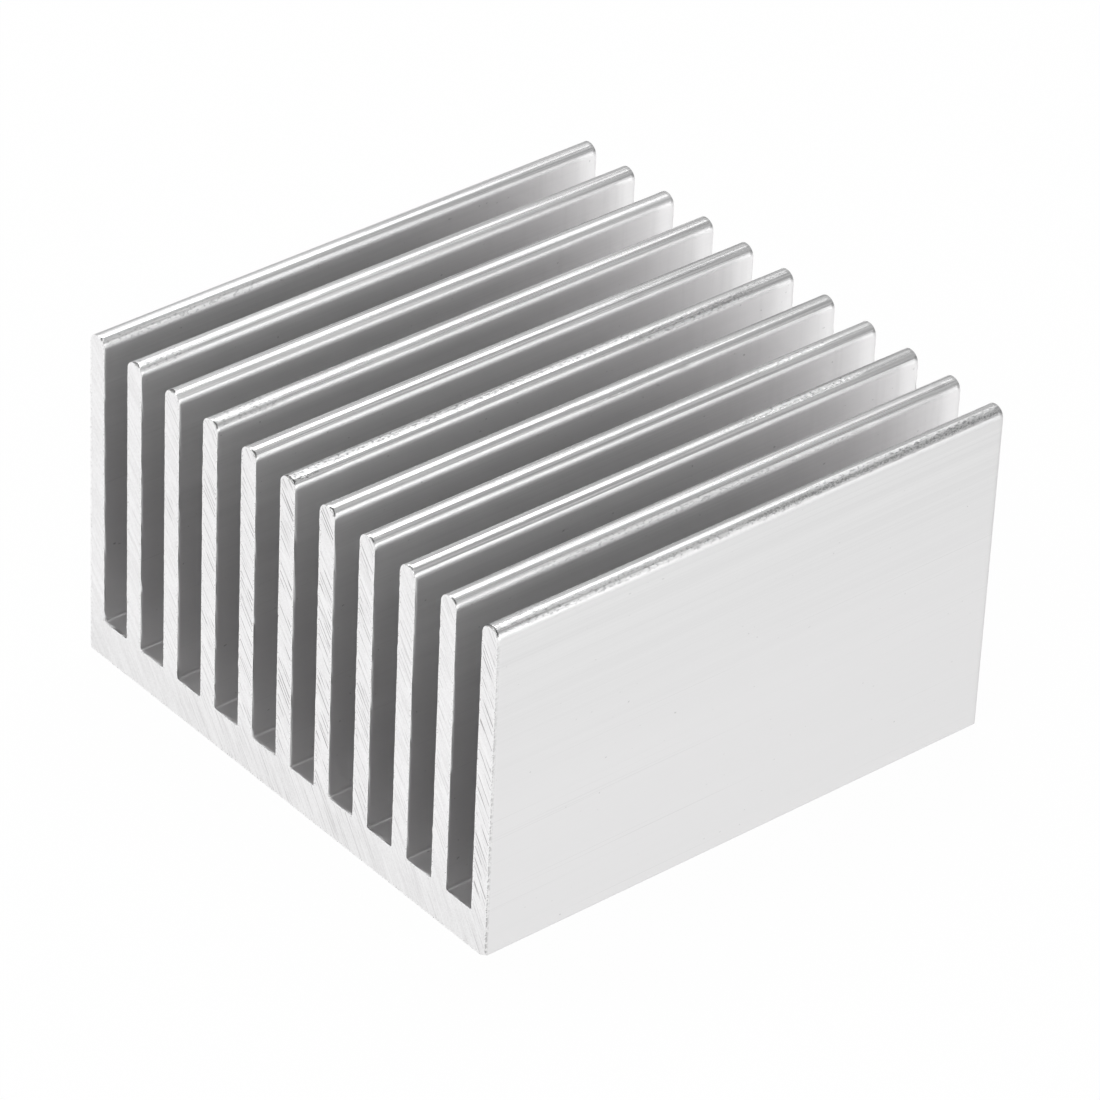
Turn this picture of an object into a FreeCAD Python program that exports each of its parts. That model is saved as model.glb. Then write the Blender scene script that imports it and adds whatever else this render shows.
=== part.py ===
import FreeCAD, Part
import Sketcher
import math
import os

# Extruded heat sink: a flat base with a row of straight upright fins, sawn across at both ends.
# X runs across the fins, Y along the extrusion and Z up. The origin is in the middle of the underside.

NODE = "heat_sink"

# Driving dimensions, in millimetres.
SIZES = {
    "length": 50.0,  # along the extrusion, from one sawn end to the other
    "width": 50.0,  # across the fins, from the first fin's outer face to the last fin's
    "height": 30.0,  # from the underside to the fin tips
    "base_thickness": 3.5,  # from the underside to the slot floors
    "fin_count": 11,  # the outermost two are flush with the sides of the base
    "fin_thickness": 1.8,  # the same from root to tip
    "tip_radius": 0.88,  # along both edges of every fin tip, which is almost a full round
    "root_radius": 0.2,  # along both sides of every slot floor
    "corner_radius": 0.25,  # along both lower edges of the base
}

# The two roundings of a fin tip leave at least this much of the fin's thickness flat between them.
LEAST_FLAT_SHARE = 0.02

# Slots fill the spaces between the fins, so there is one slot fewer than there are fins.
SLOT_COUNT = "(sizes.fin_count - 1)"
FIN_PITCH = f"((sizes.width - sizes.fin_thickness) / {SLOT_COUNT})"
SLOT_WIDTH = f"({FIN_PITCH} - sizes.fin_thickness)"
TIP_ROUNDING = f"min(sizes.tip_radius; sizes.fin_thickness * (1 - {LEAST_FLAT_SHARE}) / 2)"

# Which point of a sketch line or arc a constraint takes, and the sketch's own origin.
START = 1
END = 2
ORIGIN = (-1, 1)

# Edges closer than this to the tip height lie on a fin tip.
TIP_TOLERANCE = 0.001


def make_sheet(document):
    sheet = document.addObject("Spreadsheet::Sheet", "sizes")
    for row, (name, value) in enumerate(SIZES.items(), start=1):
        sheet.set(f"A{row}", name)
        sheet.set(f"B{row}", str(value))
        sheet.setAlias(f"B{row}", name)
    document.recompute()
    return sheet


def make_section_sketch(body, name):
    # The section plane faces along the extrusion: sketch x is X, and sketch y is Z.
    sketch = body.newObject("Sketcher::SketchObject", name)
    section_plane = next(item for item in body.Origin.OriginFeatures if item.Role == "XZ_Plane")
    sketch.AttachmentSupport = [(section_plane, "")]
    sketch.MapMode = "FlatFace"
    return sketch


def draw_round_bottomed_box(sketch, bindings):
    # A rectangle whose two lower corners are rounded. Every one of its sizes is bound to the sheet:
    # reach, from the left side to the middle of the part; width; top, above the underside; depth; radius.
    document = sketch.Document
    start = {size: float(sketch.evalExpression(text)) for size, text in bindings.items()}
    left = -start["reach"]
    right = left + start["width"]
    top = start["top"]
    bottom = top - start["depth"]
    radius = start["radius"]

    def point(x, z):
        return FreeCAD.Vector(x, z, 0)

    def quarter_arc(x, z, from_angle):
        circle = Part.Circle(point(x, z), FreeCAD.Vector(0, 0, 1), radius)
        return Part.ArcOfCircle(circle, from_angle, from_angle + math.pi / 2)

    floor = sketch.addGeometry(Part.LineSegment(point(left + radius, bottom), point(right - radius, bottom)))
    right_arc = sketch.addGeometry(quarter_arc(right - radius, bottom + radius, -math.pi / 2))
    right_side = sketch.addGeometry(Part.LineSegment(point(right, bottom + radius), point(right, top)))
    lid = sketch.addGeometry(Part.LineSegment(point(right, top), point(left, top)))
    left_side = sketch.addGeometry(Part.LineSegment(point(left, top), point(left, bottom + radius)))
    left_arc = sketch.addGeometry(quarter_arc(left + radius, bottom + radius, math.pi))

    for first, second in ((floor, right_arc), (right_arc, right_side), (left_side, left_arc), (left_arc, floor)):
        sketch.addConstraint(Sketcher.Constraint("Tangent", first, END, second, START))
    for first, second in ((right_side, lid), (lid, left_side)):
        sketch.addConstraint(Sketcher.Constraint("Coincident", first, END, second, START))
    for line in (floor, lid):
        sketch.addConstraint(Sketcher.Constraint("Horizontal", line))
    for line in (left_side, right_side):
        sketch.addConstraint(Sketcher.Constraint("Vertical", line))
    sketch.addConstraint(Sketcher.Constraint("Equal", left_arc, right_arc))

    measures = {
        "reach": Sketcher.Constraint("DistanceX", left_side, START, *ORIGIN, start["reach"]),
        "width": Sketcher.Constraint("DistanceX", lid, END, lid, START, start["width"]),
        "top": Sketcher.Constraint("DistanceY", *ORIGIN, lid, START, start["top"]),
        "depth": Sketcher.Constraint("DistanceY", floor, END, lid, START, start["depth"]),
        "radius": Sketcher.Constraint("Radius", right_arc, start["radius"]),
    }
    for size, constraint in measures.items():
        index = sketch.addConstraint(constraint)
        sketch.renameConstraint(index, size)
        sketch.setExpression(f"Constraints.{size}", bindings[size])
    document.recompute()


def extrude_blank(body):
    # The stock before its slots: as wide, high and long as the finished piece.
    sketch = make_section_sketch(body, "blank_section")
    draw_round_bottomed_box(sketch, {
        "reach": "sizes.width / 2",
        "width": "sizes.width",
        "top": "sizes.height",
        "depth": "sizes.height",
        "radius": "sizes.corner_radius",
    })
    blank = body.newObject("PartDesign::Pad", "blank")
    blank.Profile = sketch
    blank.SideType = "Symmetric"
    blank.setExpression("Length", "sizes.length")
    body.Document.recompute()
    return blank


def cut_first_slot(body):
    # The slot beside the leftmost fin, open at the top and at both sawn ends.
    sketch = make_section_sketch(body, "slot_section")
    draw_round_bottomed_box(sketch, {
        "reach": "sizes.width / 2 - sizes.fin_thickness",
        "width": SLOT_WIDTH,
        "top": "sizes.height",
        "depth": "sizes.height - sizes.base_thickness",
        "radius": "sizes.root_radius",
    })
    slot = body.newObject("PartDesign::Pocket", "first_slot")
    slot.Profile = sketch
    slot.SideType = "Symmetric"
    slot.Type = "ThroughAll"
    body.Document.recompute()
    return slot


def repeat_slot(body, slot):
    # One slot a pitch along X leaves a fin of the same thickness between every two of them.
    row = body.newObject("PartDesign::LinearPattern", "slot_row")
    row.Originals = [slot]
    row.Direction = (slot.Profile[0], ["H_Axis"])
    row.Mode = "Spacing"
    row.setExpression("Offset", FIN_PITCH)
    row.setExpression("Occurrences", SLOT_COUNT)
    body.Tip = row
    body.Document.recompute()
    return row


def round_fin_tips(body, row):
    # Both long edges of every fin's flat tip.
    tip_height = row.Shape.BoundBox.ZMax
    tip_edges = []
    for number, edge in enumerate(row.Shape.Edges, start=1):
        box = edge.BoundBox
        if box.ZMin > tip_height - TIP_TOLERANCE and box.YLength > TIP_TOLERANCE:
            tip_edges.append(f"Edge{number}")
    tips = body.newObject("PartDesign::Fillet", "fin_tips")
    tips.Base = (row, tip_edges)
    tips.setExpression("Radius", TIP_ROUNDING)
    body.Document.recompute()
    return tips


def check_volume(before, after):
    if not 0 < after.Shape.Volume < before.Shape.Volume:
        raise RuntimeError(f"{after.Label} took nothing off {before.Label}")


def check_document(document, body):
    for item in document.Objects:
        if "Invalid" in item.State or "Error" in item.State:
            raise RuntimeError(f"{item.Label} did not compute: {item.State}")
    if body.Shape.isNull() or not body.Shape.isValid() or len(body.Shape.Solids) != 1:
        raise RuntimeError(f"{body.Label} is not one valid solid")


def main():
    document = FreeCAD.newDocument(NODE)
    make_sheet(document)
    body = document.addObject("PartDesign::Body", NODE)
    body.Label = NODE
    body.Placement = FreeCAD.Placement()

    blank = extrude_blank(body)
    slot = cut_first_slot(body)
    check_volume(blank, slot)
    row = repeat_slot(body, slot)
    check_volume(slot, row)
    tips = round_fin_tips(body, row)
    check_volume(row, tips)

    document.recompute()
    check_document(document, body)
    os.makedirs("parts", exist_ok=True)
    body.Shape.exportStep(f"parts/{body.Label}.step")
    box = body.Shape.BoundBox
    print(f"{body.Label}: {box.XLength:.2f} x {box.YLength:.2f} x {box.ZLength:.2f} mm, "
          f"{body.Shape.Volume:.0f} cubic mm, {len(body.Shape.Faces)} faces")


main()
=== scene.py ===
import math
import random
import bpy
import bmesh
from mathutils import Matrix, Vector, noise


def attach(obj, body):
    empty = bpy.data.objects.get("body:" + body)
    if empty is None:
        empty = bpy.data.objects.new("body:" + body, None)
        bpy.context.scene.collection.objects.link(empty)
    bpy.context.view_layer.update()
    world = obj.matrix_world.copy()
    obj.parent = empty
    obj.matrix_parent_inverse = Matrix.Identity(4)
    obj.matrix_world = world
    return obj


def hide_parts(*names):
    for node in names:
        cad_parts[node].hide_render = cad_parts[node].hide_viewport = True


# An extruded aluminium heat sink, bare as it left the die, with both ends sawn.
# X runs across the fins, Y along the extrusion and Z up, from the middle of the underside.
# Shapes are worked out in millimetres and become metres as the mesh is made.
# Materials, lamps and the floor are in metres.

mm = 0.001

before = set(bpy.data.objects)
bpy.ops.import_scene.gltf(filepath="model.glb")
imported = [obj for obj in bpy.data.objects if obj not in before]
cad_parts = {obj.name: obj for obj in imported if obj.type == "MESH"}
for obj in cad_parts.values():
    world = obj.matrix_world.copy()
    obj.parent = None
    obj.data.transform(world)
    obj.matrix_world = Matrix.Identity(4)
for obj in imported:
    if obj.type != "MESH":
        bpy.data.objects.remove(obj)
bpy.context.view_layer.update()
print("frame loaded")


photoView = {
    "place": (319.39, -276.30, 304.17),  # mm, from the origin of the part
    "right": (0.635085, 0.771463, 0.038884),  # the picture's right, in the part's axes
    "down": (0.458720, -0.336169, -0.822537),  # the picture's down
    "lens": 214.13,  # mm, for the sensor width below
    "sensor": 36,
    "sees": (0.01, 10),  # metres, the nearest and the farthest
}


def placeCamera():
    camera = bpy.data.objects.new("camera", bpy.data.cameras.new("camera"))
    right = Vector(photoView["right"]).normalized()
    up = -Vector(photoView["down"]).normalized()
    back = right.cross(up)
    axes = Matrix((right, up, back)).transposed().to_4x4()
    camera.matrix_world = Matrix.Translation(Vector(photoView["place"]) * mm) @ axes
    camera.data.lens = photoView["lens"]
    camera.data.sensor_width = photoView["sensor"]
    camera.data.sensor_fit = "HORIZONTAL"
    camera.data.clip_start, camera.data.clip_end = photoView["sees"]
    bpy.context.scene.collection.objects.link(camera)
    bpy.context.scene.camera = camera
    print("camera placed")


# Short ways to write the nodes of a material

def newMaterial(name):
    material = bpy.data.materials.new(name)
    material.use_nodes = True
    material.node_tree.nodes.clear()
    return material


def addNode(tree, kind, links=None, **settings):
    node = tree.nodes.new("ShaderNode" + kind)
    for name, value in settings.items():
        setattr(node, name, value)
    for socket, value in (links or {}).items():
        if isinstance(value, bpy.types.NodeSocket):
            tree.links.new(value, node.inputs[socket])
        else:
            node.inputs[socket].default_value = value
    return node


def mapValue(tree, value, given, wanted=(0.0, 1.0), **settings):
    # the value stretched from the given range to the wanted one, and held at its ends
    node = addNode(tree, "MapRange", {"Value": value, "From Min": given[0], "From Max": given[1],
                                      "To Min": wanted[0], "To Max": wanted[1]}, **settings)
    return node.outputs["Result"]


def combine(tree, operation, first, second=0.0):
    return addNode(tree, "Math", {0: first, 1: second}, operation=operation).outputs[0]


def multiply(tree, first, second):
    return combine(tree, "MULTIPLY", first, second)


def halfAndHalf(tree, first, second):
    return combine(tree, "ADD", multiply(tree, first, 0.5), multiply(tree, second, 0.5))


def mixValue(tree, share, first, second):
    return addNode(tree, "Mix", {0: share, 2: first, 3: second}, data_type="FLOAT").outputs[0]


def mixColour(tree, share, first, second):
    node = addNode(tree, "Mix", {0: share}, data_type="RGBA")
    for number, colour in ((6, first), (7, second)):
        if isinstance(colour, bpy.types.NodeSocket):
            tree.links.new(colour, node.inputs[number])
        else:
            node.inputs[number].default_value = (*colour, 1)
    return node.outputs[2]


def darken(tree, share, colour):
    return mixColour(tree, share, colour, (0, 0, 0))


def grain(tree, vector, scale, detail=2.0, roughness=0.5):
    # noise whose features measure 1 / scale metres along each axis
    stretched = addNode(tree, "VectorMath", {0: vector, 1: scale}, operation="MULTIPLY")
    texture = addNode(tree, "TexNoise", {"Vector": stretched.outputs[0], "Scale": 1.0, "Detail": detail,
                                         "Roughness": roughness})
    return texture.outputs["Fac"]


def longGrain(tree, vector, scale):
    # the same with more fine detail in it
    return grain(tree, vector, scale, 3.0, 0.6)


def placeOnPart(tree):
    return addNode(tree, "TexCoord").outputs["Object"]


def alongAxis(tree, place, axis):
    return addNode(tree, "SeparateXYZ", {0: place}).outputs[axis]


def alongFins(tree):
    # the direction in which the metal is brushed
    return addNode(tree, "Tangent", direction_type="RADIAL", axis="Y").outputs[0]


def relief(tree, height, depth, **links):
    return addNode(tree, "Bump", {"Height": height, "Strength": 1.0, "Distance": depth, **links}).outputs[0]


def markOn(tree, name):
    # a value that the mesh carries at each of its points
    return addNode(tree, "Attribute", attribute_name=name).outputs["Fac"]


def finishMetal(tree, links):
    shader = addNode(tree, "BsdfPrincipled", {"Metallic": 1.0, **links})
    addNode(tree, "OutputMaterial", {"Surface": shader.outputs[0]})


# Sharp edges are rubbed bright and carry a painted highlight, with dark specks of dirt and painted shade
# where the burr is torn

sharpEdges = {
    # white on the edges: partly rubbed metal, partly a painted highlight
    "rubbed": (1.0, 1.0, 1.0),
    "rubbedAndHighlitShare": 0.8,
    # the specks: partly dirt, partly painted shade beside the torn burr
    "speck": (0.30, 0.30, 0.30),
    "speckScale": (9000, 9000, 9000),
    "specksFrom": (0.57, 0.67),  # how high in the noise they begin, and are full
}


def showEdges(tree, place, colour):
    edge = markOn(tree, "edge")
    specks = mapValue(tree, grain(tree, place, sharpEdges["speckScale"]), sharpEdges["specksFrom"])
    # the painted highlight, over the rubbed metal
    colour = mixColour(tree, multiply(tree, edge, sharpEdges["rubbedAndHighlitShare"]), colour, sharpEdges["rubbed"])
    # dark specks of dirt and painted shade
    return mixColour(tree, multiply(tree, edge, specks), colour, sharpEdges["speck"])


# Aluminium as the die left it: lines run along the fins, and painted shade darkens the two outer faces and
# the slots towards their floors. Tones are heights in the noise, places are metres

dieDrawn = {
    "dull": (0.846, 0.8445, 0.8455),
    "bright": (0.910, 0.909, 0.9098),
    "tones": (0.38, 0.62),  # from dull to bright
    "streakScale": (7000, 22, 7000),  # fine die lines, 0.15 mm apart and tens of millimetres long
    "bandScale": (900, 6, 900),  # broader bands of them
    "deep": (0.915, 0.909, 0.912),  # the skin low in the slots
    "deepZ": (0.027, 0.013),
    "deepShare": 0.8,
    "footZ": (0.011, 0.0045),  # where the slots grow darker towards their floors
    "footShade": 0.06,
    "warm": (0.862, 0.851, 0.856),  # the skin towards the far end
    "warmY": (0.003, 0.021),
    "warmShare": 0.6,
    "line": (0.79, 0.788, 0.789),  # single die lines, only in some of the bands
    "lineTones": (0.60, 0.68),
    "lineBands": (0.45, 0.60),
    "lineShare": 0.6,
    "lineDepth": 0.7e-6,
    "outerX": (0.02485, 0.02495),
    "outerShade": 0.135,  # painted shade: how much darker the two outer faces are painted
    "barScale": (60, 900, 70),  # faint upright darker bars, only towards the far end of the slots
    "barTones": (0.5, 0.75),
    "barDarkening": 0.11,
    "speck": (0.50, 0.50, 0.50),
    "speckScale": (3600, 1900, 3000),
    "speckTones": (0.76, 0.82),
    "speckShare": 0.7,
    "torn": (0.20, 0.20, 0.20),  # along the outer corner of the sawn end
    "tornScale": (3800, 3800, 3800),
    "tornTones": (0.42, 0.57),
    "roughness": (0.38, 0.45),
    "roughTones": (0.3, 0.7),
    "anisotropy": 0.6,
}


def dieDrawnSkin(tree, place):
    # its colour, its roughness and the lines themselves
    drawn = dieDrawn
    streaks = longGrain(tree, place, drawn["streakScale"])
    bands = grain(tree, place, drawn["bandScale"])
    tone = halfAndHalf(tree, streaks, bands)
    colour = mixColour(tree, mapValue(tree, tone, drawn["tones"]), drawn["dull"], drawn["bright"])

    x, y, z = (alongAxis(tree, place, axis) for axis in "XYZ")
    outside = mapValue(tree, combine(tree, "ABSOLUTE", x), drawn["outerX"])
    inside = combine(tree, "SUBTRACT", 1.0, outside)
    deep = mapValue(tree, z, drawn["deepZ"], (0.0, drawn["deepShare"]))
    colour = mixColour(tree, deep, colour, drawn["deep"])
    foot = multiply(tree, mapValue(tree, z, drawn["footZ"], (0.0, drawn["footShade"])), inside)
    colour = darken(tree, foot, colour)
    warm = multiply(tree, mapValue(tree, y, drawn["warmY"], (0.0, drawn["warmShare"])), inside)
    colour = mixColour(tree, warm, colour, drawn["warm"])

    lines = mapValue(tree, streaks, drawn["lineTones"])
    lines = multiply(tree, lines, mapValue(tree, bands, drawn["lineBands"]))
    colour = mixColour(tree, multiply(tree, lines, drawn["lineShare"]), colour, drawn["line"])
    # painted shade on the two outer faces
    colour = darken(tree, multiply(tree, outside, drawn["outerShade"]), colour)
    barGrain = longGrain(tree, place, drawn["barScale"])
    bars = mapValue(tree, barGrain, drawn["barTones"], (0.0, drawn["barDarkening"]))
    colour = darken(tree, multiply(tree, bars, warm), colour)
    specks = grain(tree, place, drawn["speckScale"], 1.0)
    specks = mapValue(tree, specks, drawn["speckTones"], (0.0, drawn["speckShare"]))
    colour = mixColour(tree, specks, colour, drawn["speck"])
    return colour, mapValue(tree, tone, drawn["roughTones"], drawn["roughness"]), streaks


def dieDrawnAluminium():
    material = newMaterial("dieDrawnAluminium")
    tree = material.node_tree
    place = placeOnPart(tree)
    colour, roughness, streaks = dieDrawnSkin(tree, place)
    colour = showEdges(tree, place, colour)
    torn = mapValue(tree, grain(tree, place, dieDrawn["tornScale"]), dieDrawn["tornTones"])
    colour = mixColour(tree, multiply(tree, torn, markOn(tree, "groove")), colour, dieDrawn["torn"])
    finishMetal(tree, {
        "Base Color": colour, "Roughness": roughness, "Anisotropic": dieDrawn["anisotropy"],
        "Tangent": alongFins(tree), "Normal": relief(tree, streaks, dieDrawn["lineDepth"])})
    return material


# The fin tips: rubbed bright by handling, and scuffed, with painted shade towards their far ends and in the
# chips at the front

rubbedTips = {
    "dull": (0.66, 0.66, 0.663),
    "bright": (0.99, 0.99, 0.992),
    "tones": (0.35, 0.65),
    "streakScale": (5200, 35, 5200),
    "lineDepth": 20e-6,
    "farY": (-0.018, 0.022),
    "farShade": 0.10,  # painted shade: the tips are darker towards their far ends
    "pits": (0.25, 0.25, 0.26),
    "pitTones": (0.53, 0.63),
    "pitShare": 0.9,
    "scuffScale": (5600, 2800, 5600),
    "scuffDepth": 60e-6,
    "scuffRoughness": 0.12,
    "torn": ((0.34, 0.34, 0.345), (0.70, 0.70, 0.70)),  # the two greys of torn metal
    "tornScale": (13000, 6000, 13000),
    "tornFrom": (0.99, 1.12),  # the mark on the mesh and the noise, added up
    "fleckScale": (8500, 4500, 8500),
    "fleckTones": (0.38, 0.62),
    # painted shade: the chipped front ends of the tips are painted near black
    "chipShade": (0.05, 0.05, 0.05),
    "chipShadeFrom": (0.72, 0.9),
    "roughness": (0.24, 0.35),
    "roughTones": (0.3, 0.7),
    "polished": 0.10,  # how much smoother the best tips are
    "flank": 0.03,  # how much rougher it is between the tip and the fin's side
}


def tipColour(tree, place, skin, streaks, scuffs):
    tips = rubbedTips
    groove = markOn(tree, "groove")
    colour = mixColour(tree, mapValue(tree, streaks, tips["tones"]), tips["dull"], tips["bright"])
    # painted shade, darker towards the far end of each tip
    far = mapValue(tree, alongAxis(tree, place, "Y"), tips["farY"])
    colour = darken(tree, multiply(tree, far, tips["farShade"]), colour)
    colour = mixColour(tree, markOn(tree, "rub"), skin, colour)
    pits = multiply(tree, mapValue(tree, scuffs, tips["pitTones"]), markOn(tree, "scuff"))
    colour = mixColour(tree, multiply(tree, pits, tips["pitShare"]), colour, tips["pits"])
    torn = combine(tree, "ADD", groove, grain(tree, place, tips["tornScale"]))
    flecks = mapValue(tree, grain(tree, place, tips["fleckScale"]), tips["fleckTones"])
    flecks = mixColour(tree, flecks, *tips["torn"])
    colour = mixColour(tree, mapValue(tree, torn, tips["tornFrom"]), colour, flecks)
    # painted shade in the chips
    colour = mixColour(tree, mapValue(tree, groove, tips["chipShadeFrom"]), colour, tips["chipShade"])
    return showEdges(tree, place, colour)


def tipRoughness(tree, skinRoughness, streaks):
    tips = rubbedTips
    rubbed = markOn(tree, "rub")
    smooth = mapValue(tree, streaks, tips["roughTones"], tips["roughness"])
    smooth = combine(tree, "SUBTRACT", smooth, multiply(tree, markOn(tree, "polish"), tips["polished"]))
    smooth = mixValue(tree, rubbed, skinRoughness, smooth)
    flank = multiply(tree, rubbed, combine(tree, "SUBTRACT", 1.0, rubbed))
    flank = multiply(tree, flank, 4 * tips["flank"])  # fullest where the tip is half rubbed
    scuffed = multiply(tree, markOn(tree, "scuff"), tips["scuffRoughness"])
    return combine(tree, "ADD", combine(tree, "ADD", smooth, flank), scuffed)


def rubbedTipAluminium():
    material = newMaterial("rubbedTipAluminium")
    tree = material.node_tree
    place = placeOnPart(tree)
    rubbed = markOn(tree, "rub")
    skin, skinRoughness, _ = dieDrawnSkin(tree, place)
    streaks = longGrain(tree, place, rubbedTips["streakScale"])
    scuffs = longGrain(tree, place, rubbedTips["scuffScale"])
    damage = combine(tree, "MAXIMUM", markOn(tree, "scuff"), markOn(tree, "groove"))
    lines = relief(tree, multiply(tree, streaks, rubbed), rubbedTips["lineDepth"])
    scratches = relief(tree, multiply(tree, scuffs, damage), rubbedTips["scuffDepth"], Normal=lines)
    finishMetal(tree, {
        "Base Color": tipColour(tree, place, skin, streaks, scuffs),
        "Roughness": tipRoughness(tree, skinRoughness, streaks),
        "Anisotropic": mapValue(tree, rubbed, (0.0, 1.0), (dieDrawn["anisotropy"], 0.0)),
        "Tangent": alongFins(tree), "Normal": scratches})
    return material


# Aluminium as the saw left it, with painted shade in its scratches and down in the saw's marks

sawn = {
    "dull": (0.868, 0.861, 0.865),
    "bright": (0.967, 0.963, 0.967),
    "tones": (0.38, 0.60),
    "coarseScale": (2600, 150, 1),  # away from the blade's axle, and round it
    "grainScale": (7500, 7500, 7500),
    # painted shade: the dark of the scratches and of the saw's marks
    "scratchShade": (0.30, 0.29, 0.30),
    "fineScale": (6000, 260, 1),
    "fineTones": (0.65, 0.71),
    "scratchShadeShare": 0.9,
    "gapScale": (1200, 320, 1),  # the marks break off here and there
    "gapTones": (0.42, 0.52),
    "centre": (-200.0, -135.0),  # mm, X and Z of the blade's axle
    "heavyX": (-0.022, -0.009),  # the marks grow heavier away from the first fin
    "heavyFirst": 0.15,
    "lightX": ((0.008, 0.013), (0.0235, 0.0225)),  # a stretch where they are light again
    "lightShare": 0.35,
    "heavyZ": (0.0025, 0.006),  # and they are lighter on the base
    "heavyBase": 0.4,
    "footZ": (0.006, 0.002),
    "footShade": 0.07,
    "roughness": (0.46, 0.30),
    "roughTones": (0.3, 0.7),
    "lineDepth": 3.0e-6,
}


def roundTheBlade(tree, place):
    # how far from the blade's axle, and how far round it
    axle = Vector((sawn["centre"][0] * mm, 0, sawn["centre"][1] * mm))
    apart = addNode(tree, "VectorMath", {0: place, 1: axle}, operation="SUBTRACT").outputs[0]
    x, z = (alongAxis(tree, apart, axis) for axis in "XZ")
    squares = combine(tree, "ADD", multiply(tree, x, x), multiply(tree, z, z))
    away = combine(tree, "SQRT", squares)
    around = multiply(tree, combine(tree, "ARCTAN2", z, x), axle.length)
    return addNode(tree, "CombineXYZ", {"X": away, "Y": around}).outputs[0]


def weightOfMarks(tree, place):
    across, height = (alongAxis(tree, place, axis) for axis in "XZ")
    starts, ends = sawn["lightX"]
    light = multiply(tree, mapValue(tree, across, starts), mapValue(tree, across, ends))
    heavy = mapValue(tree, across, sawn["heavyX"], (sawn["heavyFirst"], 1.0))
    heavy = multiply(tree, heavy, mapValue(tree, light, (0.0, 1.0), (1.0, sawn["lightShare"])))
    return multiply(tree, heavy, mapValue(tree, height, sawn["heavyZ"], (sawn["heavyBase"], 1.0)))


def sawnAluminium():
    material = newMaterial("sawnAluminium")
    tree = material.node_tree
    place = placeOnPart(tree)
    sweep = roundTheBlade(tree, place)
    speckle = grain(tree, place, sawn["grainScale"], 2.0, 0.6)
    tone = halfAndHalf(tree, grain(tree, sweep, sawn["coarseScale"]), speckle)
    colour = mixColour(tree, mapValue(tree, tone, sawn["tones"]), sawn["dull"], sawn["bright"])

    fine = grain(tree, sweep, sawn["fineScale"])
    heavy = weightOfMarks(tree, place)
    gaps = mapValue(tree, grain(tree, sweep, sawn["gapScale"]), sawn["gapTones"])
    # painted shade: dark lines along the fine scratches, and darker the deeper a saw's mark
    shadedScratches = multiply(tree, mapValue(tree, fine, sawn["fineTones"], (0.0, sawn["scratchShadeShare"])), heavy)
    shadedMarks = multiply(tree, multiply(tree, markOn(tree, "groove"), gaps), heavy)
    colour = mixColour(tree, combine(tree, "MAXIMUM", shadedScratches, shadedMarks), colour, sawn["scratchShade"])
    colour = showEdges(tree, place, colour)
    foot = mapValue(tree, alongAxis(tree, place, "Z"), sawn["footZ"], (0.0, sawn["footShade"]))
    finishMetal(tree, {
        "Base Color": darken(tree, foot, colour),
        "Roughness": mapValue(tree, tone, sawn["roughTones"], sawn["roughness"]),
        "Normal": relief(tree, combine(tree, "ADD", tone, fine), sawn["lineDepth"])})
    return material


# The section: a closed line round the base and the fins

heatSink = {
    "width": 50.0,  # mm, as are the rest
    "height": 30.0,
    "base": 3.5,
    "fins": 11,
    "fin": 1.8,
    "tip": 0.88,
    "root": 0.2,
    "corner": 0.25,
    "front": -25.0,
    "back": 24.98,
    "askew": 0.52,  # how much shorter the first fin's side is, where the saw ran askew
    "stations": 120,  # places along the length where the outline is set
    "fineStep": 0.25,  # between outline points at the sawn ends
    "wallSkip": 20,  # one in so many of those on a wall runs the whole length
    "floorSkip": 6,  # and of those on a slot floor
    "besides": 0.08,  # a point this far inside each flat keeps the shading of the arcs off it
    "tipSteps": 14,
    "smallSteps": 3,  # round a root or a lower corner
}


def addStraight(outline, start, end, kind, fin, every):
    length = math.dist(start, end)
    along = ((end[0] - start[0]) / length, (end[1] - start[1]) / length)
    count = max(1, round(length / heatSink["fineStep"] / every)) * every
    besides = heatSink["besides"] / length
    marks = [(0.0, True), (besides, True)]
    marks += [(step / count, step % every == 0) for step in range(1, count)]
    marks += [(1 - besides, True)]
    for share, runs in marks:
        x, z = (low + (high - low) * share for low, high in zip(start, end))
        outline.append({"x": x, "z": z, "nx": along[1], "nz": -along[0],
                        "kind": kind, "fin": fin, "runs": runs, "turn": 0.0})


def addArc(outline, centre, radius, turns, count, kind, fin, hollow=False):
    # turns: from and to, in degrees from straight up towards +X
    facing = -1 if hollow else 1
    for step in range(count):
        turn = math.radians(turns[0] + (turns[1] - turns[0]) * step / count)
        away = (math.sin(turn), math.cos(turn))
        outline.append({"x": centre[0] + radius * away[0], "z": centre[1] + radius * away[1],
                        "nx": away[0] * facing, "nz": away[1] * facing,
                        "kind": kind, "fin": fin, "runs": True, "turn": math.degrees(turn)})


def addTip(outline, left, right, fin):
    tip, steps = heatSink["tip"], heatSink["tipSteps"]
    shoulder = heatSink["height"] - tip
    addArc(outline, (right - tip, shoulder), tip, (90, 0), steps, "tip", fin)
    addArc(outline, (left + tip, shoulder), tip, (0, -90), steps, "tip", fin)


def addSlotFloor(outline, left, right, fin):
    base, root, steps = heatSink["base"], heatSink["root"], heatSink["smallSteps"]
    addArc(outline, (right - root, base + root), root, (90, 180), steps, "root", fin, hollow=True)
    addStraight(outline, (right - root, base), (left + root, base), "floor", fin, heatSink["floorSkip"])
    addArc(outline, (left + root, base + root), root, (180, 270), steps, "root", fin, hollow=True)


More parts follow.
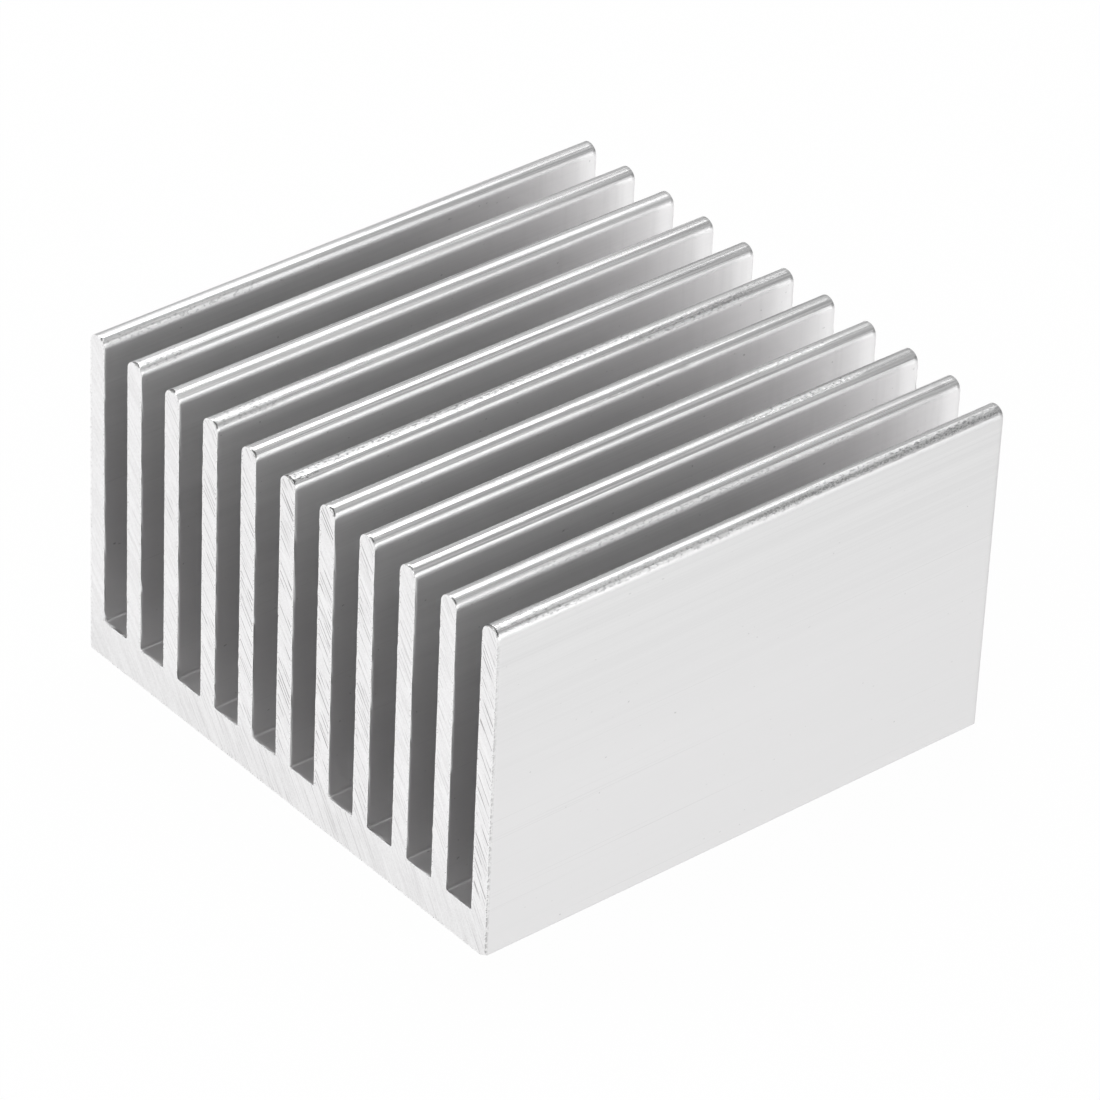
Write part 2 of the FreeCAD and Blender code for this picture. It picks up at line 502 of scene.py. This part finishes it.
def drawOutline():
    half = heatSink["width"] / 2
    shoulder = heatSink["height"] - heatSink["tip"]
    foot = heatSink["base"] + heatSink["root"]
    corner, steps, skip = heatSink["corner"], heatSink["smallSteps"], heatSink["wallSkip"]
    last = heatSink["fins"] - 1
    pitch = (heatSink["width"] - heatSink["fin"]) / last
    outline = []
    addStraight(outline, (-half + corner, 0), (half - corner, 0), "underside", -1, skip)
    addArc(outline, (half - corner, corner), corner, (180, 90), steps, "corner", -1)
    for fin in reversed(range(last + 1)):
        left = -half + pitch * fin
        right = left + heatSink["fin"]
        low = foot if fin < last else corner
        addStraight(outline, (right, low), (right, shoulder), "rightFace", fin, skip)
        addTip(outline, left, right, fin)
        low = foot if fin else corner
        addStraight(outline, (left, shoulder), (left, low), "leftFace", fin, skip)
        if fin:
            addSlotFloor(outline, left - pitch + heatSink["fin"], left, fin)
    addArc(outline, (-half + corner, corner), corner, (270, 180), steps, "corner", -1)
    return outline


# Wear of the tips. Turns are degrees round a tip, from straight up towards +X

tipWear = {
    "ripple": 0.007,  # slow unevenness round and along each tip, which bends its highlights
    "rippleLevel": 0.6,
    "rippleScale": (7.3, 0.03, 0.022),  # by fin, by millimetre and by degree
    "dents": [  # fin, Y, turn, reach along Y, reach in degrees, depth
        (5, -23.6, 20, 0.5, 22, 0.05),
        (5, -22.4, 40, 0.6, 16, 0.035),
        (0, 2.0, -10, 0.7, 20, 0.03),
        (1, -8.0, 10, 0.5, 18, 0.03),
        (8, -14.6, 25, 0.4, 14, 0.03),
        (6, 9.8, 55, 0.5, 16, 0.04),
        (7, 10.4, -35, 0.5, 20, 0.04),
        (9, 23.4, 30, 0.4, 18, 0.04),
        (9, 22.6, 45, 0.3, 14, 0.03),
        (3, -21.0, -20, 0.5, 16, 0.03),
    ],
    "smallDents": 60,
    "smallDent": ((-24.5, 24.5), (-60, 60), (0.3, 0.9), (6, 16), (0.004, 0.016)),  # Y to depth, as above
    "seed": 7,
    "polish": (0, 0, 0.2, 0.3, 0.6, 0.9, 1, 1, 0.9, 0.2, 0.5),  # fin by fin
    "rubTurns": (44, 84),  # the rub fades out between these
    "scuffs": [  # fin, from Y, to Y, from turn, to turn, strength
        (5, -25, -7, -50, 25, 1.0),
        (5, -7, 9, -40, 20, 0.7),
        (5, 9, 20, 25, 65, 0.7),
        (5, 20, 24, -20, 15, 0.7),
        (3, -25, -19, -30, 60, 0.6),
        (0, -25, -10, 35, 80, 0.5),
        (1, -25, -20, -10, 60, 0.5),
        (7, 13, 20, -20, 20, 0.6),
        (8, 8, 19, -20, 20, 0.9),
        (9, -17, 6, 40, 80, 0.45),
        (10, -25, -20, -60, 60, 0.4),
        (10, 6, 25, 10, 57, 0.9),
        (10, -22, 6, 28, 66, 0.6),
    ],
    "scuffEverywhere": 0.06,
    "torn": [  # the same, for metal that is torn dark
        (10, -13, 26, 28, 50, 0.47),
        (10, -1, 26, 30, 57, 0.68),
        (5, 16, 21, 25, 55, 0.62),
        (5, 4, 16, 35, 55, 0.40),
        (5, -23, -3, 38, 50, 0.46),
        (5, -25, -5, -60, -38, 0.46),
        (6, 0, 5, 40, 60, 0.42),
        (8, -18.5, -17, -20, 0, 0.5),
        (9, -2, 16, 55, 80, 0.45),
        (0, -22, -12, 40, 55, 0.40),
        (5, -25, -22, 20, 50, 0.62),
    ],
    "fades": (1, 1.5, 12),  # mm where a zone begins, mm where it ends, and degrees
}


def listDents():
    draw = random.Random(tipWear["seed"])
    dents = list(tipWear["dents"])
    for _ in range(tipWear["smallDents"]):
        fin = draw.randrange(heatSink["fins"])
        dents.append((fin, *[draw.uniform(*limits) for limits in tipWear["smallDent"]]))
    return dents


def sink(point, y, dents):
    # how far the tip has been worn or knocked in at a place, in mm
    if point["kind"] != "tip":
        return 0.0
    byFin, byLength, byTurn = tipWear["rippleScale"]
    spot = Vector((point["fin"] * byFin, y * byLength, point["turn"] * byTurn))
    fade = math.cos(math.radians(point["turn"])) ** 0.5 if abs(point["turn"]) < 90 else 0.0
    depth = tipWear["ripple"] * (tipWear["rippleLevel"] + noise.noise(spot)) * fade
    for fin, at, turn, reach, spread, deep in dents:
        if fin == point["fin"] and abs(y - at) < 3 * reach:  # nothing of a dent is left farther off
            depth += deep * math.exp(-((y - at) / reach) ** 2 - ((point["turn"] - turn) / spread) ** 2)
    return max(0.0, depth)


def ease(value, low, high):
    share = min(1.0, max(0.0, (value - low) / (high - low)))
    return share * share * (3 - 2 * share)


def zoneAt(point, y, zones):
    # how strongly the worst of the listed zones shows at a place
    begin, end, around = tipWear["fades"]
    worst = 0.0
    for fin, fromY, toY, fromTurn, toTurn, strength in zones:
        if fin == point["fin"] and point["kind"] == "tip":
            turn = point["turn"]
            alongTip = ease(y, fromY - begin, fromY + begin) * (1 - ease(y, toY - end, toY + end))
            roundTip = ease(turn, fromTurn - around, fromTurn + around)
            roundTip *= 1 - ease(turn, toTurn - around, toTurn + around)
            worst = max(worst, strength * alongTip * roundTip)
    return worst


def wearAt(point, y):
    # what the mesh carries for the materials, apart from what is sharp or torn
    if point["kind"] != "tip":
        return {"rub": 0.0, "scuff": 0.0, "polish": 0.0}
    return {
        "rub": 1 - ease(abs(point["turn"]), *tipWear["rubTurns"]),
        "scuff": max(tipWear["scuffEverywhere"], zoneAt(point, y, tipWear["scuffs"])),
        "polish": tipWear["polish"][point["fin"]],
    }


# Sawn ends: the edges carry a thin burr, and the faces carry the saw's marks

sawnEnds = {
    "collar": 0.34,  # mm from the end, where the outline gets its fine points
    "edgeBreak": 0.035,
    "crestInset": (0.004, 0.026),
    "rimWidth": 0.19,
    "rimWave": 0.02,
    "rimSlope": 0.6,  # how far in, of the rim's width, the burr comes down
    "rimDrop": 0.002,
    "burrHeight": (0.008, 0.028),
    "burr": 0.10,  # the most that a burr leans out into a slot
    "burrRipple": 0.02,
    "burrFrom": (-0.15, 0.35),  # only some stretches of the edge carry it
    "wornCorner": 0.30,  # off the foot of the front corner
    "wornReach": 2,
    "cornerChip": 0.035,  # down the outer face of the last fin
    "cornerFade": 0.6,  # how much less of it there is at the top
    "chips": [  # front end: fin, turn, reach in degrees, size
        (0, 30, 14, 0.08),
        (1, 10, 22, 0.16),
        (2, -6, 20, 0.15),
        (3, 40, 26, 0.10),
        (4, 40, 24, 0.13),
        (5, 14, 34, 0.17),
        (6, 38, 26, 0.15),
        (7, 30, 22, 0.09),
        (8, 20, 26, 0.07),
        (9, 35, 24, 0.09),
        (10, 5, 50, 0.17),
    ],
    "chipRipple": 0.5,
    "chipInset": 0.5,
    "chipRim": 0.6,
    "chipTornAndShaded": 0.06,  # a chip of this size is torn all over, and painted near black as shade
    "noise": {  # how fast it changes along the edge, and where it is read at the front and at the back
        "wave": (0.9, (9.4, 0), (3.1, 0)),
        "ripple": (2.9, (1.4, 0), (5.1, 0)),
        "rag": (1.7, (7.7, 8.8), (7.7, 2.2)),
        "ragged": (0.13, (6.1, 4.4), (2.6, 4.4)),
    },
    "marks": 0.36,  # mean distance of the saw's marks
    "leastApart": 0.12,
    "markWidth": (0.04, 0.075),
    "markSlope": 2.2,  # how much wider a mark is than its steep side
    "markDepth": (0.004, 0.013),
    "markShoulder": (0, 0.001),
    "markShadeDepths": (0.001, 0.009),  # how deep a mark begins to be painted dark as shade, and is full
    "marksLeast": 0.3,
    "marksMiddle": 0.85,
    "marksGrow": 35.0,  # mm across the fins for a mark to gain its whole depth
    "seed": 11,
}


def backAt(x):
    # Y of the far end, which the saw left askew
    return heatSink["back"] - heatSink["askew"] * (0.5 - x / heatSink["width"])


def endAt(x, isBack):
    return backAt(x) if isBack else heatSink["front"]


def edgeNoise(name, travelled, isBack):
    rate, front, back = sawnEnds["noise"][name]
    return noise.noise(Vector((travelled * rate, *(back if isBack else front))))


def wearCorner(spot):
    # the foot of the front corner is knocked off
    corner = Vector((heatSink["width"] / 2, heatSink["front"], 0))
    facing = Vector((1, -1, -1)).normalized()
    over = (spot - corner).dot(facing) + sawnEnds["wornCorner"]
    if over > 0 and (spot - corner).length < sawnEnds["wornReach"]:
        return spot - facing * over
    return spot


def ringPlace(point, outwards, y):
    return wearCorner(Vector((point["x"] + point["nx"] * outwards, y, point["z"] + point["nz"] * outwards)))


def isOutermost(point):
    return point["fin"] == (heatSink["fins"] - 1 if point["kind"] == "rightFace" else 0)


def carriesBurr(point):
    # the edges round the slots, not those outside the part
    atSide = point["kind"] in ("rightFace", "leftFace")
    return point["kind"] in ("floor", "root") or (atSide and not isOutermost(point))


def chipAt(point, isBack):
    # how much of the edge is broken away at the front end
    if isBack:
        return 0.0
    if point["kind"] == "rightFace" and isOutermost(point):
        return sawnEnds["cornerChip"] * (1 - sawnEnds["cornerFade"] * point["z"] / heatSink["height"])
    if point["kind"] != "tip":
        return 0.0
    return max(size * math.exp(-((point["turn"] - turn) / reach) ** 2)
               for fin, turn, reach, size in sawnEnds["chips"] if fin == point["fin"])


def endRings(outline, isBack):
    # from the body outwards: the start of the edge break, then the burr's crest, slope and inner foot
    ends = sawnEnds
    low, high = ends["crestInset"]
    thin, thick = ends["burrHeight"]
    sign = -1 if isBack else 1
    rings = [[], [], [], []]
    travelled = 0.0
    for index, point in enumerate(outline):
        before = outline[index - 1]
        travelled += math.dist((point["x"], point["z"]), (before["x"], before["z"]))
        wave, ripple, rag = (edgeNoise(name, travelled, isBack) for name in ("wave", "ripple", "rag"))
        chip = chipAt(point, isBack) * (1 + ends["chipRipple"] * ripple)
        lean = -(low + (high - low) * (0.5 + 0.5 * wave) + ends["chipInset"] * chip)
        if carriesBurr(point):
            ragged = ease(edgeNoise("ragged", travelled, isBack), *ends["burrFrom"])
            lean += max(0.0, rag) * ragged * ends["burr"] + ends["burrRipple"] * ripple
        crest = (thick - thin) * (0.5 - 0.5 * ripple)
        rim = ends["rimWidth"] + ends["rimWave"] * wave + ends["chipRim"] * chip
        end = endAt(point["x"], isBack)
        places = ((0.0, ends["edgeBreak"] + chip), (lean, crest),
                  (-ends["rimSlope"] * rim, crest + ends["rimDrop"]), (-rim, thick))
        for ring, (outwards, inset) in zip(rings, places):
            ring.append(ringPlace(point, outwards, end + sign * inset))
    return rings


def sawMarks(seed):
    # a profile across the marks: distance from the axle and height, lowest in the middle of each mark
    draw = random.Random(seed)
    ends = sawnEnds
    half, high = heatSink["width"] / 2 + 1, heatSink["height"] + 1
    reaches = [math.dist((x, z), sawn["centre"]) for x in (-half, half) for z in (-1, high)]
    at, far = min(reaches), max(reaches)
    profile = [(at, 0.0)]
    while at < far:
        at += ends["leastApart"] + draw.expovariate(1 / (ends["marks"] - ends["leastApart"]))
        width = draw.uniform(*ends["markWidth"])
        depth = draw.uniform(*ends["markDepth"])
        profile += [(at, draw.uniform(*ends["markShoulder"])), (at + width, -depth)]
        at += width * ends["markSlope"]
        profile += [(at, draw.uniform(*ends["markShoulder"]))]
    return profile


def heightAt(profile, reach):
    low, high = 0, len(profile) - 1
    if reach <= profile[0][0] or reach >= profile[-1][0]:
        return 0.0
    while high - low > 1:
        middle = (low + high) // 2
        if profile[middle][0] <= reach:
            low = middle
        else:
            high = middle
    share = (reach - profile[low][0]) / (profile[high][0] - profile[low][0])
    return profile[low][1] + (profile[high][1] - profile[low][1]) * share


def cutAcross(mesh, faces, reach):
    # cuts the faces that a mark runs through, and gives those before it and those beyond it
    before, crossed, beyond = [], [], []
    for face in faces:
        reaches = [vertex.co.x for vertex in face.verts]
        if max(reaches) <= reach:
            before.append(face)
        elif min(reaches) >= reach:
            beyond.append(face)
        else:
            crossed.append(face)
    if crossed:
        parts = set(crossed)
        for face in crossed:
            parts.update(face.edges)
            parts.update(face.verts)
        result = bmesh.ops.bisect_plane(mesh, geom=list(parts), plane_co=(reach, 0, 0), plane_no=(1, 0, 0),
                                        dist=1e-9)
        beyond += [part for part in result["geom"] if isinstance(part, bmesh.types.BMFace)]
    return before, beyond


def cutMarks(mesh, cap, isBack):
    # the face is unrolled round the blade's axle, so that every mark is one straight cut
    profile = sawMarks(sawnEnds["seed"] + isBack)
    groove = mesh.verts.layers.float["groove"]
    axleX, axleZ = (value * mm for value in sawn["centre"])
    distance = math.hypot(axleX, axleZ)
    for vertex in cap.verts:
        x, z = vertex.co.x - axleX, vertex.co.z - axleZ
        vertex.co = (math.hypot(x, z), 0, math.atan2(z, x) * distance)
    done, ahead = [], [cap]
    for reach, _ in profile:
        before, ahead = cutAcross(mesh, ahead, reach * mm)
        done += before
    corners = set()
    for face in done + ahead:
        corners.update(face.verts)
    sign = -1 if isBack else 1
    dark, full = sawnEnds["markShadeDepths"]
    for vertex in corners:
        reach, turn = vertex.co.x, vertex.co.z / distance
        x, z = axleX + reach * math.cos(turn), axleZ + reach * math.sin(turn)
        strength = sawnEnds["marksMiddle"] + x / (sawnEnds["marksGrow"] * mm)
        height = heightAt(profile, reach / mm) * min(1.0, max(sawnEnds["marksLeast"], strength))
        y = endAt(x / mm, isBack) + sign * sawnEnds["burrHeight"][1]
        # painted shade: the deeper the mark, the darker it is painted
        vertex[groove] = min(1.0, max(0.0, -height - dark) / (full - dark))
        vertex.co = wearCorner(Vector((x / mm, y - sign * height, z / mm))) * mm


# The mesh: what it carries at its points, and its materials in order

carried = ("edge", "rub", "scuff", "polish", "groove")
drawnSlot, tipSlot, sawnSlot = range(3)


def slotAt(point):
    return tipSlot if point["kind"] == "tip" else drawnSlot


def buildEnd(outline, isBack):
    # one sawn end: its places, what each place carries, and its faces
    mesh = bmesh.new()
    layers = {name: mesh.verts.layers.float.new(name) for name in carried}
    y = endAt(0, isBack)
    rings = []
    for number, (places, edge) in enumerate(zip(endRings(outline, isBack), (0.0, 1.0, 1.0, 0.0))):
        ring = [mesh.verts.new(place * mm) for place in places]
        for vertex, point in zip(ring, outline):
            chipped = min(1.0, chipAt(point, isBack) / sawnEnds["chipTornAndShaded"])
            torn = max(chipped, zoneAt(point, y, tipWear["torn"]))
            amounts = {**wearAt(point, y), "edge": edge, "groove": torn if number < 2 else 0.0}
            for name, amount in amounts.items():
                vertex[layers[name]] = amount
        rings.append(ring)
    for number, (outer, inner) in enumerate(zip(rings, rings[1:])):
        for this, point in enumerate(outline):
            after = (this + 1) % len(outline)
            corners = (inner[this], inner[after], outer[after], outer[this])
            face = mesh.faces.new(tuple(reversed(corners)) if isBack else corners)
            face.material_index = sawnSlot if number else slotAt(point)
            face.smooth = number == 0
    cap = mesh.faces.new(rings[3] if isBack else list(reversed(rings[3])))
    cap.material_index = sawnSlot
    cutMarks(mesh, cap, isBack)
    mesh.verts.index_update()
    places = [vertex.co.copy() for vertex in mesh.verts]
    values = {name: [vertex[layer] for vertex in mesh.verts] for name, layer in layers.items()}
    faces = [([vertex.index for vertex in face.verts], face.material_index, face.smooth)
             for face in mesh.faces]
    mesh.free()
    return places, values, faces


def addBody(outline, running, places, values):
    # the outline points that run the whole length, station by station
    dents = listDents()
    for step in range(heatSink["stations"] + 1):
        share = step / heatSink["stations"]
        for index in running:
            point = outline[index]
            start = heatSink["front"] + sawnEnds["collar"]
            end = backAt(point["x"]) - sawnEnds["collar"]
            y = start + (end - start) * share
            places.append(ringPlace(point, -sink(point, y, dents), y) * mm)
            amounts = {**wearAt(point, y), "edge": 0.0, "groove": zoneAt(point, y, tipWear["torn"])}
            for name, amount in amounts.items():
                values[name].append(amount)


def coverBody(outline, running, body, ends, faces):
    # the skin from station to station, and on to both ends
    count = len(running)
    last = body + heatSink["stations"] * count
    for this in range(count):
        after = (this + 1) % count
        slot = slotAt(outline[running[this]])
        for ring in range(body, last, count):
            corners = [ring + this, ring + after, ring + count + after, ring + count + this]
            faces.append((corners, slot, True))
        # an end joins on with all its fine points between these two
        stop = running[after] if after else len(outline)
        fine = [index % len(outline) for index in range(running[this], stop + 1)]
        front = [ends[0] + index for index in fine]
        back = [ends[1] + index for index in reversed(fine)]
        faces.append((front + [body + after, body + this], slot, True))
        faces.append(([last + this, last + after] + back, slot, True))


def buildHeatSink():
    outline = drawOutline()
    running = [index for index, point in enumerate(outline) if point["runs"]]
    places, faces, ends = [], [], []
    values = {name: [] for name in carried}
    for isBack in (False, True):
        # an end's first places are its ring beside the body, in the outline's order
        first = len(places)
        ends.append(first)
        endPlaces, endValues, endFaces = buildEnd(outline, isBack)
        places += endPlaces
        for name in carried:
            values[name] += endValues[name]
        for corners, slot, smooth in endFaces:
            faces.append(([first + corner for corner in corners], slot, smooth))
    print("ends sawn")

    body = len(places)
    addBody(outline, running, places, values)
    coverBody(outline, running, body, ends, faces)
    print("body drawn")

    data = bpy.data.meshes.new("heatSink")
    data.from_pydata(places, [], [corners for corners, _, _ in faces])
    data.polygons.foreach_set("material_index", [slot for _, slot, _ in faces])
    data.polygons.foreach_set("use_smooth", [smooth for _, _, smooth in faces])
    for name, amounts in values.items():
        data.attributes.new(name, "FLOAT", "POINT").data.foreach_set("value", amounts)
    data.update()
    piece = bpy.data.objects.new("heatSink", data)
    bpy.context.scene.collection.objects.link(piece)
    for material in (dieDrawnAluminium(), rubbedTipAluminium(), sawnAluminium()):
        data.materials.append(material)
    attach(piece, "root")
    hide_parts("heat_sink")
    data.calc_loop_triangles()
    print("heat sink made:", len(places), "places,", len(faces), "faces,",
          len(data.loop_triangles), "triangles")


# A white table, a pale sky with a bright card along the right, and two lamps

studio = {
    "floorHalf": 0.6,
    "floorHeight": -0.00002,  # a hair below the part, to keep their faces apart
    "floorColour": (0.90, 0.90, 0.90),
    "floorGlow": 0.97,  # how much of the floor's white, as the camera and the metal see it, stays in shadow
    "card": (3.4, 0.3),  # how bright the card is, and what lies beyond its far end
    "cardFades": (0.495, 0.60),
    "cardTop": (0.17, 0.52),
    "rightSky": 0.48,
    "leftSky": 0.62,
    "leftHorizon": 0.25,
    "leftRise": (0.05, 0.30),
    "frontSky": 0.50,
    "leftToRight": (-0.25, 0.35),  # where one sky passes into the other
    "frontToBack": (-0.35, 0.1),
    "bounces": 24,  # the slots are deep, and light has a long way out of them
}


def seenRay(tree):
    # 1 for what the camera sees, directly or by reflection
    path = addNode(tree, "LightPath")
    either = combine(tree, "MAXIMUM", path.outputs["Is Camera Ray"], path.outputs["Is Glossy Ray"])
    return combine(tree, "MAXIMUM", either, path.outputs["Is Transmission Ray"])


def layFloor():
    half = studio["floorHalf"]
    mesh = bpy.data.meshes.new("floor")
    corners = ((-half, -half), (half, -half), (half, half), (-half, half))
    mesh.from_pydata([(x, y, studio["floorHeight"]) for x, y in corners], [], [(0, 1, 2, 3)])
    floor = bpy.data.objects.new("floor", mesh)
    bpy.context.scene.collection.objects.link(floor)
    material = newMaterial("whiteTable")
    tree = material.node_tree
    paper = addNode(tree, "BsdfDiffuse", {"Color": (*studio["floorColour"], 1)})
    glow = addNode(tree, "Emission", {"Color": (1, 1, 1, 1), "Strength": 1.0})
    share = multiply(tree, seenRay(tree), studio["floorGlow"])
    lit = addNode(tree, "MixShader", {0: share, 1: paper.outputs[0], 2: glow.outputs[0]})
    below = addNode(tree, "NewGeometry").outputs["Backfacing"]  # from below, the underside shows through
    clear = addNode(tree, "BsdfTransparent")
    surface = addNode(tree, "MixShader", {0: below, 1: lit.outputs[0], 2: clear.outputs[0]})
    addNode(tree, "OutputMaterial", {"Surface": surface.outputs[0]})
    mesh.materials.append(material)
    print("floor laid")


def lightWorld():
    world = bpy.data.worlds.new("studio")
    bpy.context.scene.world = world
    world.use_nodes = True
    tree = world.node_tree
    tree.nodes.clear()
    direction = addNode(tree, "TexCoord").outputs["Generated"]

    def shade(axis, given, wanted=(0.0, 1.0)):
        towards = alongAxis(tree, direction, axis)
        return mapValue(tree, towards, given, wanted, interpolation_type="SMOOTHSTEP")

    card = shade("Y", studio["cardFades"], studio["card"])
    right = mixValue(tree, shade("Z", studio["cardTop"]), card, studio["rightSky"])
    left = shade("Z", studio["leftRise"], (studio["leftHorizon"], studio["leftSky"]))
    back = mixValue(tree, shade("X", studio["leftToRight"]), left, right)
    strength = mixValue(tree, shade("Y", studio["frontToBack"]), studio["frontSky"], back)
    dim = addNode(tree, "Background", {"Color": (1, 1, 1, 1), "Strength": strength})
    white = addNode(tree, "Background", {"Color": (1, 1, 1, 1), "Strength": 1.0})
    camera = addNode(tree, "LightPath").outputs["Is Camera Ray"]
    mix = addNode(tree, "MixShader", {0: camera, 1: dim.outputs[0], 2: white.outputs[0]})
    addNode(tree, "OutputWorld", {"Surface": mix.outputs[0]})


lamps = [
    {"name": "overheadLamp", "at": (-0.12, 0.07, 0.38), "size": (0.21, 0.35), "radiance": 2.4},
    {"name": "fillLamp", "at": (0.15, -0.45, 0.45), "size": (0.5, 0.35), "radiance": 2.6},
]


def hangLamps():
    for lamp in lamps:
        data = bpy.data.lights.new(lamp["name"], "AREA")
        data.shape = "RECTANGLE"
        data.size, data.size_y = lamp["size"]
        data.energy = lamp["radiance"] * math.pi * data.size * data.size_y  # watts, for how white it looks
        thing = bpy.data.objects.new(lamp["name"], data)
        thing.location = lamp["at"]
        bpy.context.scene.collection.objects.link(thing)
    print("lamps hung")


placeCamera()
layFloor()
lightWorld()
hangLamps()
buildHeatSink()
scene = bpy.context.scene
scene.cycles.max_bounces = studio["bounces"]
scene.cycles.glossy_bounces = studio["bounces"]
scene.view_settings.view_transform = "Standard"
print("scene ready")
